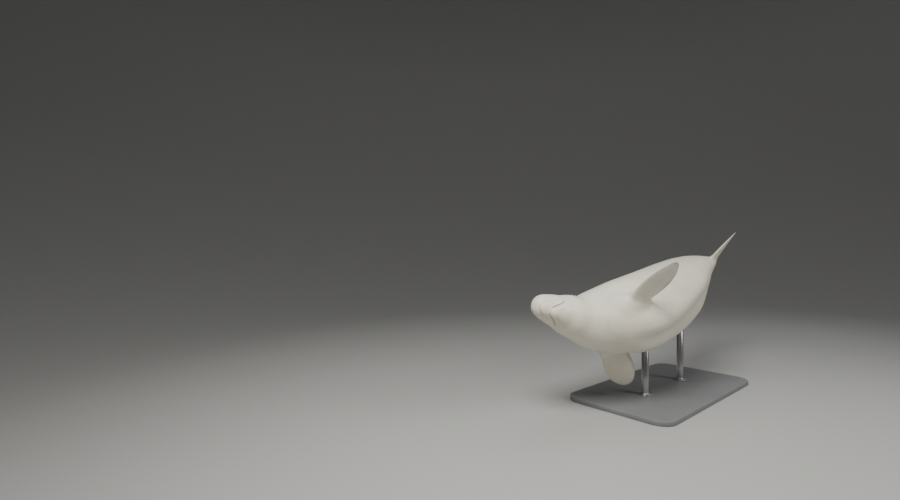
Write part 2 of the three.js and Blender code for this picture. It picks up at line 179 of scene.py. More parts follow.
def skinPoints(t, directions):
    origins = np.zeros(directions.shape)
    origins[..., 0] = t
    low = np.full(directions.shape[:-1], 2.0)
    high = np.full(directions.shape[:-1], 700.0)
    for _ in range(24):
        middle = (low + high) / 2
        inside = skinField(origins + directions * middle[..., None]) < 0
        low = np.where(inside, middle, low)
        high = np.where(inside, high, middle)
    return origins + directions * low[..., None]


def skinNormals(p):
    slope = np.empty(p.shape)
    for axis in range(3):
        step = np.zeros(3)
        step[axis] = 1
        slope[..., axis] = skinField(p + step) - skinField(p - step)
    return slope / np.linalg.norm(slope, axis=-1, keepdims=True)


# The skin points in line with points given by their own t, y and z
def onSkin(p):
    start = np.maximum(p[..., 0], head["centre"])
    d = p.copy()
    d[..., 0] -= start
    return skinPoints(start, d / np.linalg.norm(d, axis=-1, keepdims=True))


def turned(turn, lift, roll):
    q = Quaternion((0, 0, 1), math.radians(turn)) @ Quaternion((0, -1, 0), math.radians(lift))
    return q @ Quaternion((1, 0, 0), math.radians(roll))


def frameAt(t):
    total = np.zeros(3)
    for start, end, angles in (pose["neck"], pose["back"], pose["tail"]):
        share = ramp(t, start, end) if start < end else 1 - ramp(t, end, start)
        total += share * np.array(angles)
    return turned(*pose["heading"]) @ turned(*total)


# The bent axis, walked in short steps both ways from the fixed point
def walkAxis():
    step = pose["step"]
    count = int(4300 / step)
    frames = np.empty((count + 1, 3, 3))
    points = np.zeros((count + 1, 3))
    for i in range(count + 1):
        frames[i] = frameAt(i * step).to_matrix()
        if i:
            ahead = np.array(frameAt((i - 0.5) * step) @ Vector((1, 0, 0)))
            points[i] = points[i - 1] - step * ahead
    return frames, points - points[int(pose["fixedPoint"] / step)]


axisFrames, axisPoints = walkAxis()
print("axis walked")


def bent(p):
    t = np.clip(p[..., 0], 0, (len(axisPoints) - 1) * pose["step"] - 1)
    i = np.floor(t / pose["step"]).astype(int)
    share = (t / pose["step"] - i)[..., None]
    local = np.stack([t - p[..., 0], p[..., 1], p[..., 2]], -1)
    here = np.einsum("...ij,...j->...i", axisFrames[i], local) + axisPoints[i]
    there = np.einsum("...ij,...j->...i", axisFrames[i + 1], local) + axisPoints[i + 1]
    return here + share * (there - here)


skin = {
    "around": 480,
    "snoutRings": 210,
    "headStep": 1.9,
    "headEnd": 520,
    "trunkStep": 7,
    "tipLength": 60,
    "tipRings": 22,
    # Angle round the body, spread and strength
    "crowding": [(math.pi / 2, 0.2, 1.5), (math.pi, 0.16, 1.1), (1.05, 0.16, 0.9), (0, 0.3, 0.4)],
}
mouth = {
    "tip": 55,
    "corner": 259,
    "halfWidth": 135,
    "height": -93,
    "sag": 3,
    "smile": 51,
    "depth": 9,
    "width": 3.4,
    "lipRise": 3.6,
    "lipAt": 12,
    "lipSpread": 6,
}
eye = {
    "t": 369,
    "y": 178,
    "z": 3,
    "radius": 18,
    "sunk": 9.5,
    "halfLength": 16.5,
    "halfHeight": 10.5,
    "socket": 17,
}
# Forms round the eye: how far past the rim they lie, their spread, and their rise in millimetres
lidForms = {"lid": (5.5, 4.6, 7), "crease": (17, 2.6, -2.4), "brow": (26, 9, 2.5), "bag": (14, 2.4, -1.3)}
blowhole = {
    "t": 425,
    "y": 12,  # it lies a little to the left
    "halfWidth": 34,
    "sweep": 24,
    "depth": 10,
    "width": 3.2,
    "rim": 6.5,
    "rimAt": 13,
}


# Columns lie closer together beside the eyes, the mouth and the blowhole
def columnAngles():
    fine = np.linspace(-math.pi, math.pi, 7201)
    density = np.ones(fine.shape)
    for at, spread, extra in skin["crowding"]:
        density += extra * bump(np.abs(fine) - at, spread)
    total = np.concatenate([[0], np.cumsum((density[1:] + density[:-1]) / 2)])
    wanted = np.linspace(0, total[-1], skin["around"], endpoint=False)
    return np.interp(wanted, total, fine)


def spacedRings():
    headEnd, end, tipLength = skin["headEnd"], trunk["end"], skin["tipLength"]
    near = np.arange(head["centre"], headEnd, skin["headStep"])
    far = np.arange(headEnd, end - tipLength, skin["trunkStep"])
    tip = end - tipLength * (1 - np.sin(np.linspace(0, math.pi / 2, skin["tipRings"])))
    return np.concatenate([near, far, tip])


def raysAndPoints(angles):
    polar = np.radians(np.linspace(0.5, 90, skin["snoutRings"], endpoint=False))
    rings = spacedRings()
    snout = np.empty((len(polar), len(angles), 3))
    snout[..., 0] = -np.cos(polar)[:, None]
    snout[..., 1] = np.sin(polar)[:, None] * np.sin(angles)
    snout[..., 2] = -np.sin(polar)[:, None] * np.cos(angles)
    across = np.stack([np.zeros(angles.shape), np.sin(angles), -np.cos(angles)], -1)
    straight = np.broadcast_to(across, (len(rings), len(angles), 3))
    directions = np.concatenate([snout, straight])
    start = np.concatenate([np.full(len(polar), head["centre"]), rings])
    t = np.broadcast_to(start[:, None], directions.shape[:-1])
    return skinPoints(t, directions)


# Distance from each point to a line of points, and the place of the nearest one on that line
def nearestOn(line, p):
    distance = np.full(len(p), 1e9)
    nearest = np.zeros(len(p), int)
    for start in range(0, len(p), 20000):
        part = p[start : start + 20000]
        squares = (part**2).sum(1)[:, None] + (line**2).sum(1)[None] - 2 * part @ line.T
        nearest[start : start + 20000] = squares.argmin(1)
        distance[start : start + 20000] = np.sqrt(np.maximum(squares.min(1), 0))
    return distance, nearest


def mouthLine():
    y = np.linspace(-mouth["halfWidth"], mouth["halfWidth"], 401)
    share = (np.abs(y) / mouth["halfWidth"]) ** 3
    t = mouth["tip"] + (mouth["corner"] - mouth["tip"]) * share
    z = mouth["height"] - mouth["sag"] * np.sin(math.pi * share) + mouth["smile"] * share**3
    return onSkin(np.stack([t, y, z], -1))


def blowholeLine():
    share = np.linspace(-1, 1, 121)
    y = blowhole["y"] + share * blowhole["halfWidth"]
    t = blowhole["t"] - blowhole["sweep"] * share**2
    return onSkin(np.stack([t, y, along(1, t)], -1))


def eyeAxes(side):
    at = onSkin(np.array([[eye["t"], side * eye["y"], eye["z"]]], float))
    out = skinNormals(at)[0]
    up = np.array([0, 0, 1]) - out[2] * out
    up /= np.linalg.norm(up)
    return at[0], out, up, np.cross(up, out)


# Adds one form to the skin's rise, in millimetres along its normal, and paints shade into its folds, creases
# and hollows
class Relief:
    def __init__(self, points, normals):
        self.p = points
        self.n = normals
        self.rise = np.zeros(len(points))
        # fold holds painted shade: how much the skin's colour darkens at each point of a crease or hollow
        self.fold = np.zeros(len(points))

    def near(self, centre, reach):
        return np.flatnonzero(((self.p - centre) ** 2).sum(1) < reach * reach)

    def add(self, which, rise, fold=None):
        self.rise[which] += rise
        if fold is not None:
            self.fold[which] = np.maximum(self.fold[which], fold)


def carveMouth(relief):
    which = relief.near(np.array([170, 0, -80]), 230)
    line = mouthLine()
    distance, nearest = nearestOn(line, relief.p[which])
    ends = np.minimum(nearest, len(line) - 1 - nearest) / (len(line) - 1)
    taper = ramp(ends, 0, 0.05)
    above = relief.p[which][:, 2] > line[nearest][:, 2]
    groove = bump(distance, mouth["width"])
    lips = bump(distance - mouth["lipAt"], mouth["lipSpread"]) * np.where(above, 1, 0.7)
    # The groove's mask paints shade into the line of the mouth
    relief.add(which, taper * (mouth["lipRise"] * lips - mouth["depth"] * groove), taper * groove)


melonFold = {"depth": 4.5, "width": 5, "lipRise": 4, "lipAt": 17, "lipSpread": 9, "from": 45, "to": 170}


# The crease where the melon overhangs the upper lip, deepest in front, with painted shade in it
def carveMelon(relief):
    which = relief.near(np.array([80, 0, -10]), 200)
    top, jaw = headMasses(relief.p[which])
    front = 1 - ramp(relief.p[which][:, 0], melonFold["from"], melonFold["to"])
    groove = bump(top - jaw, melonFold["width"])
    lip = bump(top - jaw - melonFold["lipAt"], melonFold["lipSpread"])
    relief.add(which, front * (melonFold["lipRise"] * lip - melonFold["depth"] * groove), 0.5 * front * groove)


def carveBlowhole(relief):
    which = relief.near(np.array([420, 0, 200]), 140)
    slit = blowholeLine()
    distance, nearest = nearestOn(slit, relief.p[which])
    behind = relief.p[which][:, 0] > slit[nearest][:, 0]
    ends = np.minimum(nearest, len(slit) - 1 - nearest) / (len(slit) - 1)
    groove = ramp(ends, -0.02, 0.1) * bump(distance, blowhole["width"])
    rim = ramp(ends, 0, 0.2) * bump(distance - blowhole["rimAt"], 7) * np.where(behind, 1, 0.55)
    # The slit's groove also paints shade into the blowhole
    relief.add(which, blowhole["rim"] * rim - blowhole["depth"] * groove, groove)


def carveEyes(relief):
    for side in (1, -1):
        at, out, up, ahead = eyeAxes(side)
        which = relief.near(at, 110)
        local = relief.p[which] - at
        u, v = local @ ahead, local @ up
        radius = np.hypot(u, v) + 1e-9
        cosine = np.abs(u) / radius
        a, b = eye["halfLength"], eye["halfHeight"] * (1 - 0.25 * cosine**3)
        rim = 1 / np.sqrt((cosine / a) ** 2 + (1 - cosine**2) / b**2)
        past = radius - rim
        forms = {name: bump(past - at, spread) for name, (at, spread, rise) in lidForms.items()}
        high = v / radius
        socket = 1 - ramp(past, -3.2, 1.2)
        forms["lid"] *= np.where(v > 0, 1.1, 0.85)
        forms["crease"] *= ramp(high, -0.35, 0.3)
        forms["brow"] *= ramp(high, -0.2, 0.5)
        forms["bag"] *= ramp(-high, 0.1, 0.7)
        rise = sum(lidForms[name][2] * form for name, form in forms.items()) - eye["socket"] * socket
        shade = 0.3 * bump(past - 9, 11) * ramp(-cosine, -1.1, -0.6)  # painted shade above and below the eye
        # The socket, the crease above the lid and the bag below it get painted shade as well
        relief.add(which, rise, np.maximum(socket, 0.6 * forms["crease"] + 0.35 * forms["bag"] + shade))


# A soft random swell made of plane waves
def swell(p, length, count=14):
    total = np.zeros(len(p))
    for _ in range(count):
        direction = random.normal(size=3)
        direction *= 2 * math.pi / (length * np.linalg.norm(direction) * random.uniform(0.7, 1.5))
        total += np.sin(p @ direction + random.uniform(0, 2 * math.pi))
    return total / math.sqrt(count)


neckFolds = [(478, 0.22, 12), (560, 0.3, 16), (655, 0.22, 20)]  # place, strength and spread
chinFold = {"from": (106, 12, -156), "to": (196, 80, -142), "depth": 2.6, "width": 3.6}


def carveFolds(relief):
    p = relief.p
    t, angle = p[:, 0], np.arctan2(p[:, 1], -p[:, 2])
    squeezed = 0.45 + 0.35 * np.sin(angle) + 0.3 * ramp(-np.cos(angle), 0.2, 1)
    for at, strength, spread in neckFolds:
        depth = strength * squeezed
        wave = 12 * np.sin(2 * angle + at) + 7 * np.sin(5 * angle + at / 7)
        away = t - at - wave
        ring = 3.2 * bump(away - 2.1 * spread, spread) - 6.5 * bump(away, spread * 0.55)
        # The hollow of each neck fold gets painted shade
        relief.add(slice(None), depth * ring, 0.25 * depth * bump(away, spread * 0.5))
    relief.add(slice(None), 1.1 * swell(p * [0.6, 1, 1], 260) + 0.16 * swell(p * [0.8, 1, 1], 60))


# A fold under the jaw that runs beside the line of the mouth
def carveChin(relief):
    which = relief.near(np.array([150, 0, -130]), 160)
    for side in (1, -1):
        share = np.linspace(0, 1, 80)[:, None]
        line = (1 - share) * chinFold["from"] + share * chinFold["to"]
        line[:, 1] *= side
        distance, nearest = nearestOn(onSkin(line), relief.p[which])
        ends = np.sin(math.pi * np.clip(nearest / 79, 0.02, 0.98)) ** 0.6
        groove = ends * bump(distance, chinFold["width"])
        # The chin fold's groove gets painted shade
        relief.add(which, 1.2 * bump(distance - 9, 4) - chinFold["depth"] * groove, 0.55 * groove)


class Grid:
    def __init__(self):
        self.points = []
        self.faces = []
        self.count = 0

    # Rings of points joined by quads. Open ends get a fan, or the last ring meets the first.
    def add(self, rings, wrap=False):
        rows, columns = rings.shape[:2]
        index = self.count + np.arange(rows * columns).reshape(rows, columns)
        self.points.append(rings.reshape(-1, 3))
        self.count += rows * columns
        below = index if wrap else index[:-1]
        above = np.roll(index, -1, axis=0)[: len(below)]
        quads = np.stack([below, np.roll(below, -1, 1), np.roll(above, -1, 1), above], -1)
        self.faces.extend(quads.reshape(-1, 4).tolist())
        if not wrap:
            for row, points, order in ((index[0], rings[0], -1), (index[-1], rings[-1], 1)):
                self.points.append(points.mean(0)[None])
                for pair in zip(row.tolist(), np.roll(row, -1).tolist()):
                    self.faces.append([self.count, *pair[::order]])
                self.count += 1
        return index


def meshObject(name, points, faces, smooth=True):
    mesh = bpy.data.meshes.new(name)
    mesh.from_pydata(np.asarray(points).tolist(), [], faces)
    mesh.validate()
    mesh.polygons.foreach_set("use_smooth", [smooth] * len(mesh.polygons))
    piece = bpy.data.objects.new(name, mesh)
    scene.collection.objects.link(piece)
    return piece


flipper = {
    "t": 1032,
    "angle": 63.5,
    "length": 517,
    "halfWidth": 159,
    "rootShare": 0.75,
    "bow": 0.05,
    "upturn": 30,
    "rootThickness": 74,
    "tipThickness": 12,
    "sunk": 0.2,
    "flare": 34,
    "flareSpread": 26,
    # Side, sweep, droop and twist in degrees, and how far the shoulder is drawn back
    "sides": {"left": (1, 5.1, 15.6, -16.2, 0), "right": (-1, 31.6, 30.8, -26, 14)},
}
fluke = {
    "halfSpan": 480,
    "leadFrom": 3585,
    "leadTo": 3965,
    "notch": 3962,
    "lobe": 102,
    "rootThickness": 66,
    "tipThickness": 7,
    "droop": 14,
    "flare": 14,
    "flareSpread": 22,
}


# A fin's section from the leading edge, over the top and back below
def finSection(count):
    angle = np.linspace(0, 2 * math.pi, count, endpoint=False)
    across = np.cos(angle)
    fromFront = (1 - across) / 2
    thick = np.sin(angle) * (0.42 + 0.95 * np.sqrt(1 - fromFront) - 0.32 * (1 - fromFront))
    return angle, across, thick * np.where(across < 0, 1 - 0.45 * across**2, 1)


def rotated(vector, axis, degrees):
    return np.array(Matrix.Rotation(math.radians(degrees), 3, Vector(axis)) @ Vector(vector))


# The flipper's root and its axes on the straight animal: forward, left and up
def flipperAxes(side, sweep, droop, twist, back):
    angle = side * math.radians(flipper["angle"])
    ray = np.array([[0, math.sin(angle), -math.cos(angle)]])
    root = skinPoints(np.array([float(flipper["t"] + back)]), ray)[0]
    sweep, droop = math.radians(sweep), math.radians(droop)
    out = math.cos(sweep)
    span = np.array([-math.sin(sweep), side * out * math.cos(droop), -out * math.sin(droop)])
    chord = np.array([1, 0, 0]) - span[0] * span
    chord = rotated(chord / np.linalg.norm(chord), span, side * twist)
    return root, span, chord, np.cross(chord, span) * side


def clustered(start, end, count):
    return start + (end - start) * (1 - (1 - np.linspace(0, 1, count)) ** 1.7)


def flareOut(points, outward, amount, spread):
    away = np.maximum(skinField(points), -12)
    return points + outward * (amount * np.exp(-away / spread))[..., None]


def flipperGrid(side, *angles):
    root, span, chord, upper = flipperAxes(side, *angles)
    share = clustered(-flipper["sunk"], 0.9994, 120)[:, None]
    s = np.maximum(share, 0)
    swellOut = flipper["rootShare"] + (1 - flipper["rootShare"]) * np.sin(math.pi * np.minimum(1, s / 0.9))
    half = flipper["halfWidth"] * swellOut * np.sqrt(1 - s**5)
    edge = np.sqrt(1 - s**6)
    depth = (flipper["rootThickness"] * (1 - s) ** 1.6 / 2 + flipper["tipThickness"]) * (0.35 + 0.65 * edge)
    angle, across, thick = finSection(150)
    length = flipper["length"]
    local = (share * length)[..., None] * span
    local = local + (across * half - flipper["bow"] * s * s * length)[..., None] * chord
    local = local + (thick * depth + flipper["upturn"] * s**3)[..., None] * upper
    outward = np.cos(angle)[:, None] * chord * 0.8 + np.sin(angle)[:, None] * upper
    flip = np.array([-1, 1, 1])  # forward is towards the snout, where t falls
    points = root + local * flip
    outward = np.broadcast_to(outward * flip, points.shape)
    return flareOut(points, outward, flipper["flare"], flipper["flareSpread"])


def flukeGrid():
    half = clustered(0, 0.9992, 110)
    share = np.concatenate([-half[::-1], half[1:]])[:, None]
    s = np.abs(share)
    lead = fluke["leadFrom"] + (fluke["leadTo"] - fluke["leadFrom"]) * (0.5 * s + 0.5 * s * s)
    trail = fluke["notch"] + fluke["lobe"] * np.sin(math.pi * s**0.62)
    tip = np.sqrt(1 - s**8)
    depth = (fluke["rootThickness"] * (1 - s) ** 1.3 / 2 + fluke["tipThickness"]) * (0.4 + 0.6 * tip)
    angle, across, thick = finSection(170)
    halfChord = np.maximum(3, (trail - lead) / 2)
    t = (lead + trail) / 2 - across * halfChord
    z = thick * depth - fluke["droop"] * s * s + 0 * t
    points = np.stack([t, share * fluke["halfSpan"] + 0 * t, z], -1)
    outward = np.stack([-np.cos(angle), 0 * angle, np.sin(angle)], -1)
    return flareOut(points, np.broadcast_to(outward, points.shape), fluke["flare"], fluke["flareSpread"])


# One piece from closed forms, each given as its rings of points in millimetres
def closedPiece(name, *forms, wrap=False):
    grid = Grid()
    for rings in forms:
        index = grid.add(rings, wrap) if rings is forms[0] else grid.add(rings)
    points = np.concatenate(grid.points) / 1000
    a, b, c = (points[part].reshape(-1, 3) for part in (index[:-1, :-1], index[:-1, 1:], index[1:, 1:]))
    middle = points[index].mean((0, 1))
    volume = (np.cross(a - middle, b - middle) * (c - middle)).sum()
    piece = meshObject(name, points, grid.faces)
    if volume < 0:
        piece.data.flip_normals()
    return piece


def unite(body, others):
    for other in others:
        boolean = body.modifiers.new("join", "BOOLEAN")
        boolean.operation = "UNION"
        boolean.solver = "MANIFOLD"
        boolean.object = other
    mesh = bpy.data.meshes.new_from_object(body.evaluated_get(bpy.context.evaluated_depsgraph_get()))
    for piece in [body, *others]:
        bpy.data.objects.remove(piece)
    return mesh


def meshArrays(mesh):
    points = np.empty(len(mesh.vertices) * 3)
    mesh.vertices.foreach_get("co", points)
    edges = np.empty(len(mesh.edges) * 2, int)
    mesh.edges.foreach_get("vertices", edges)
    return points.reshape(-1, 3) * 1000, edges.reshape(-1, 2)


def setPoints(mesh, points):
    mesh.vertices.foreach_set("co", (points / 1000).ravel())
    mesh.update()


# Rounds the hollow where a fin grows from the body
def soften(points, edges, reach=70, rounds=70):
    field = skinField(points)
    onBody = np.abs(field) < 0.3
    a, b = edges[:, 0], edges[:, 1]
    mixed = onBody[a] != onBody[b]
    seeds = np.unique(np.where(onBody[a[mixed]], a[mixed], b[mixed]))
    print("seam points", len(seeds))
    near = np.flatnonzero(field < reach)
    near = near[(points[near][:, 0] > 700)]
    distance, _ = nearestOn(points[seeds], points[near])
    weight = np.zeros(len(points))
    weight[near] = 0.55 * (1 - ramp(distance, 0, reach))
    used = (weight[a] > 0) | (weight[b] > 0)
    a, b = a[used], b[used]
    degree = np.bincount(a, minlength=len(points)) + np.bincount(b, minlength=len(points))
    moving = np.flatnonzero((weight > 0) & (degree > 0))
    for _ in range(rounds):
        total = np.zeros(points.shape)
        for axis in range(3):
            total[:, axis] = np.bincount(a, points[b, axis], len(points))
            total[:, axis] += np.bincount(b, points[a, axis], len(points))
        step = total[moving] / degree[moving, None] - points[moving]
        points[moving] += weight[moving, None] * step
    return points


angles = columnAngles()
bodyPiece = closedPiece("skin", raysAndPoints(angles))
finPieces = []
for name, values in flipper["sides"].items():
    finPieces.append(closedPiece("flipper_" + name, flipperGrid(*values)))
finPieces.append(closedPiece("flukes", flukeGrid()))
print("skin of the trunk and fins sampled")
skinMesh = unite(bodyPiece, finPieces)
points, edges = meshArrays(skinMesh)
points = soften(points, edges)
setPoints(skinMesh, points)
normals = np.empty(len(skinMesh.vertices) * 3)
skinMesh.vertices.foreach_get("normal", normals)
relief = Relief(points, normals.reshape(-1, 3))
for carve in (carveFolds, carveMelon, carveMouth, carveChin, carveBlowhole, carveEyes):
    carve(relief)
straight = points.copy()
points = points + relief.n * relief.rise[:, None]


def storeAttribute(mesh, name, values, kind="FLOAT"):
    made = mesh.attributes.new(name, kind, "POINT")
    field = "vector" if kind == "FLOAT_VECTOR" else "value"
    made.data.foreach_set(field, np.asarray(values, np.float32).ravel())


# How far a point lies towards the rear edge of a fin, and how far out along it
def finEdges(points):
    rear = np.zeros(len(points))
    out = np.zeros(len(points))
    outside = skinField(points) > 14
    for side, *angles in flipper["sides"].values():
        root, span, chord, upper = flipperAxes(side, *angles)
        local = (points - root) * [-1, 1, 1]
        s = local @ span / flipper["length"]
        which = outside & (s > -0.1) & (s < 1.05) & (points[:, 0] < 2000)
        which &= (np.abs(local @ upper) < 90) & (np.abs(local @ chord) < 260)
        s = np.clip(s[which], 0, 0.999)
        half = flipper["halfWidth"] * np.sqrt(1 - s**5)
        across = (local[which] @ chord + flipper["bow"] * s * s * flipper["length"]) / half
        rear[which] = ramp(-across, 0.66, 0.98) + ramp(s, 0.93, 1)
        out[which] = s
    which = outside & (points[:, 0] > 3400)
    s = np.clip(np.abs(points[which, 1]) / fluke["halfSpan"], 0.001, 0.999)
    trail = fluke["notch"] + fluke["lobe"] * np.sin(math.pi * s**0.62)
    rear[which] = ramp(points[which, 0], trail - 52, trail - 4)
    out[which] = s
    return np.minimum(rear, 1), out


# The eye node tells where the bent animal stands in the frame
def eyeCentre(side):
    at, out, up, ahead = eyeAxes(side)
    return at - eye["sunk"] * out


cadEye = np.mean([list(corner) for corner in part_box("eye_left")], axis=0) * 1000
shift = cadEye - bent(eyeCentre(1)[None])[0]
rear, out = finEdges(straight)
setPoints(skinMesh, bent(points) + shift)
storeAttribute(skinMesh, "straight", straight / 1000, "FLOAT_VECTOR")
# The fold attribute carries the painted shade of creases, hollows, the mouth, the blowhole and the eyes
storeAttribute(skinMesh, "fold", relief.fold)
storeAttribute(skinMesh, "rear", rear)
storeAttribute(skinMesh, "finShare", out)
skinMesh.polygons.foreach_set("use_smooth", [True] * len(skinMesh.polygons))
whale = bpy.data.objects.new("whale_skin", skinMesh)
scene.collection.objects.link(whale)
print("skin bent:", len(skinMesh.vertices), "points")


# A number that varies over a surface: its operators add the nodes
class Wire:
    def __init__(self, finish, socket):
        self.finish = finish
        self.socket = socket

    def maths(self, operation, *values):
        return self.finish.wire("Math", {"operation": operation}, dict(enumerate(values)))

    def __add__(self, other):
        return self.maths("ADD", self, other)

    def __radd__(self, other):
        return self.maths("ADD", other, self)

    def __sub__(self, other):
        return self.maths("SUBTRACT", self, other)

    def __rsub__(self, other):
        return self.maths("SUBTRACT", other, self)

    def __mul__(self, other):
        return self.maths("MULTIPLY", self, other)

    def __rmul__(self, other):
        return self.maths("MULTIPLY", other, self)

    def step(self, low, high):
        ends = {"Value": self, "From Min": low, "From Max": high}
        return self.finish.wire("MapRange", {"interpolation_type": "SMOOTHSTEP"}, ends)


class Finish:
    def __init__(self, name, **values):
        self.material = bpy.data.materials.new(name)
        self.material.use_nodes = True
        self.tree = self.material.node_tree
        self.shader = self.tree.nodes["Principled BSDF"]
        self.feed(self.shader, values)

    def feed(self, node, values):
        for name, value in values.items():
            socket = node.inputs[name]
            if isinstance(value, Wire):
                self.tree.links.new(value.socket, socket)
            else:
                socket.default_value = value

    def node(self, kind, settings=None, values=None):
        made = self.tree.nodes.new("ShaderNode" + kind)
        for name, value in (settings or {}).items():
            if name == "stops":
                for place, shade in value[1:-1]:
                    made.color_ramp.elements.new(place)
                for element, (place, shade) in zip(made.color_ramp.elements, value):
                    element.position = place
                    element.color = shade
            else:
                setattr(made, name, value)
        self.feed(made, values or {})
        return made

    def wire(self, kind, settings=None, values=None, output=0):
        return Wire(self, self.node(kind, settings, values).outputs[output])

    def blend(self, share, first, second, kind="MIX"):
        settings = {"data_type": "RGBA", "blend_type": kind}
        made = self.node("Mix", settings)
        for name, value in ((0, share), (6, first), (7, second)):
            self.feed(made, {name: value})
        return Wire(self, made.outputs[2])

    def scaled(self, vector, scale):
        return self.wire("VectorMath", {"operation": "MULTIPLY"}, {0: vector, 1: scale})

    def noise(self, vector, scale, detail=3, roughness=0.5):
        values = {"Vector": vector, "Scale": scale, "Detail": detail, "Roughness": roughness}
        return self.wire("TexNoise", None, values)

    def attribute(self, name, output="Fac"):
        return self.wire("Attribute", {"attribute_name": name}, None, output)

    def bumps(self, height, strength, distance, below=None):
        values = {"Height": height, "Strength": strength, "Distance": distance}
        if below:
            values["Normal"] = below
        return self.wire("Bump", None, values)


def skinFinish():
    tones = {
        "ivory": (0.80, 0.765, 0.665, 1),
        "cream": (0.84, 0.79, 0.64, 1),
        "chalk": (0.76, 0.745, 0.68, 1),
        "smoke": (0.50, 0.47, 0.40, 1),
        "straw": (0.72, 0.63, 0.43, 1),
        # Painted shade colour for creases and hollows
        "fold": (0.30, 0.25, 0.19, 1),
        "edge": (0.40, 0.38, 0.34, 1),
        "scar": (0.93, 0.91, 0.86, 1),
    }
    depth = {"Subsurface Weight": 0.12, "Subsurface Scale": 0.02}
    skin = Finish("beluga_skin", **depth, **{"IOR": 1.42, "Coat Weight": 0.12})
    skin.shader.inputs["Subsurface Radius"].default_value = (1, 0.62, 0.42)
    skin.shader.inputs["Coat Roughness"].default_value = 0.25
    where = skin.attribute("straight", "Vector")
    broad = skin.noise(where, 2.2, 2)
    cloud = skin.noise(skin.scaled(where, (0.6, 1, 1)), 7.5, 4, 0.6)
    speck = skin.noise(where, 120, 2)
    grain = skin.noise(where, 420, 2)
    streak = skin.noise(skin.scaled(where, (0.12, 1, 1)), 46, 3, 0.55)
    crinkle = skin.noise(skin.scaled(where, (1, 0.22, 0.22)), 60, 3, 0.6)
    colour = skin.blend(broad.step(0.35, 0.65), tones["ivory"], tones["cream"])
    stain = skin.noise(skin.scaled(where, (0.5, 1.3, 1.3)), 4.1, 4, 0.62)
    colour = skin.blend(cloud.step(0.46, 0.74) * 0.85, colour, tones["chalk"])
    colour = skin.blend(stain.step(0.52, 0.76) * 0.42, colour, tones["straw"])
    colour = skin.blend(cloud.step(0.54, 0.86) * broad.step(0.3, 0.6) * 0.24, colour, tones["smoke"])
    colour = skin.blend(speck.step(0.56, 0.78) * 0.24, colour, tones["smoke"])
    colour = skin.blend(streak.step(0.64, 0.72) * 0.22, colour, tones["scar"])
    rim = skin.attribute("rear") * (0.45 + 0.5 * cloud)
    colour = skin.blend(rim, colour, tones["edge"])
    # Painted shade darkens the skin in its creases, the mouth, the blowhole and round the eyes
    fold = skin.attribute("fold")
    colour = skin.blend(fold.step(0.08, 1) * 0.85, colour, tones["fold"])
    rough = 0.36 + 0.16 * cloud + 0.08 * speck + 0.1 * fold
    wrinkles = skin.bumps(crinkle + 0.5 * streak, 0.22, 0.004)
    pores = skin.bumps(grain + 0.6 * speck, 0.16, 0.0012, wrinkles)
    skin.feed(skin.shader, {"Base Color": colour, "Roughness": rough, "Normal": pores})
    return skin.material


skinMesh.materials.clear()
skinMesh.materials.append(skinFinish())
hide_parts("head", "neck", "torso_front", "torso_rear", "tail_stock")
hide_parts("flipper_left", "flipper_right", "fluke_left", "fluke_right")
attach(whale, "root")
print("skin finished")

eyeBall = {"cornea": 1.3, "corneaSpread": 0.34, "rings": 90, "around": 96}


# A ball with a clear bulge in front, built round the axis that looks out of the head
def eyePiece(side, name):
    at, outward, up, ahead = eyeAxes(side)
    polar = np.linspace(0.004, math.pi - 0.02, eyeBall["rings"])[:, None]
    turn = np.linspace(0, 2 * math.pi, eyeBall["around"], endpoint=False)
    radius = eye["radius"] + eyeBall["cornea"] * bump(polar, eyeBall["corneaSpread"])
    around = np.cos(turn)[:, None] * ahead + np.sin(turn)[:, None] * up
    rings = (np.cos(polar) * radius)[..., None] * outward + (np.sin(polar) * radius)[..., None] * around
    rings = bent((eyeCentre(side) + rings).reshape(-1, 3)).reshape(rings.shape) + shift
    piece = closedPiece("eye_ball_" + name, rings)
    polarAll = np.concatenate([np.repeat(polar[:, 0], eyeBall["around"]), [0, math.pi]])
    turnAll = np.concatenate([np.tile(turn, eyeBall["rings"]), [0, 0]])
    storeAttribute(piece.data, "polar", polarAll)
    spokes = np.stack([np.cos(turnAll), np.sin(turnAll), polarAll], -1)
    storeAttribute(piece.data, "spoke", spokes, "FLOAT_VECTOR")
    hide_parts("eye_" + name)
    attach(piece, "root")
    return piece


def eyeFinish():
    finish = Finish("beluga_eye", **{"Coat Weight": 1, "Coat Roughness": 0.03, "IOR": 1.38})
    polar = finish.attribute("polar")
    spoke = finish.attribute("spoke", "Vector")
    fibre = finish.noise(finish.scaled(spoke, (9, 9, 1.2)), 1.6, 3)
    iris = finish.blend(fibre, (0.016, 0.008, 0.004, 1), (0.075, 0.036, 0.015, 1))
    colour = finish.blend(polar.step(0.3, 0.34), (0.003, 0.003, 0.003, 1), iris)
    colour = finish.blend(polar.step(0.5, 0.6), colour, (0.028, 0.022, 0.02, 1))
    vein = finish.noise(spoke, 6, 3)
    finish.feed(finish.shader, {"Base Color": colour, "Roughness": 0.1 + 0.12 * vein})
    return finish.material


eyeMaterial = eyeFinish()
for side, name in ((1, "left"), (-1, "right")):
    eyePiece(side, name).data.materials.append(eyeMaterial)
print("eyes set")


stand = {
    "rodAt": [1640, 2560],
    "length": 2300,
    "width": 1150,
    "corner": 170,
    "thickness": 50,
    "round": 7,
    # Radius and height of the rod's foot, from the base up
    "foot": [(74, 0.4), (74, 9), (73.3, 11), (71.6, 12.8), (69, 13.8), (66, 14)],
    "collar": [(53, 14.1), (46, 15.4), (41.6, 19)],
    "rodRadius": 38,
    "screwAt": 60,
    "sleeve": 5,
}


def outlineOf(length, width, corner, inset, count=14):
    points = []
    x, y, r = length / 2 - inset, width / 2 - inset, corner - inset
    for k, (cx, cy) in enumerate([(x - r, y - r), (r - x, y - r), (r - x, r - y), (x - r, r - y)]):
        for angle in np.linspace(k * math.pi / 2, (k + 1) * math.pi / 2, count):
            points.append((cx + r * math.cos(angle), cy + r * math.sin(angle)))
    return np.array(points)


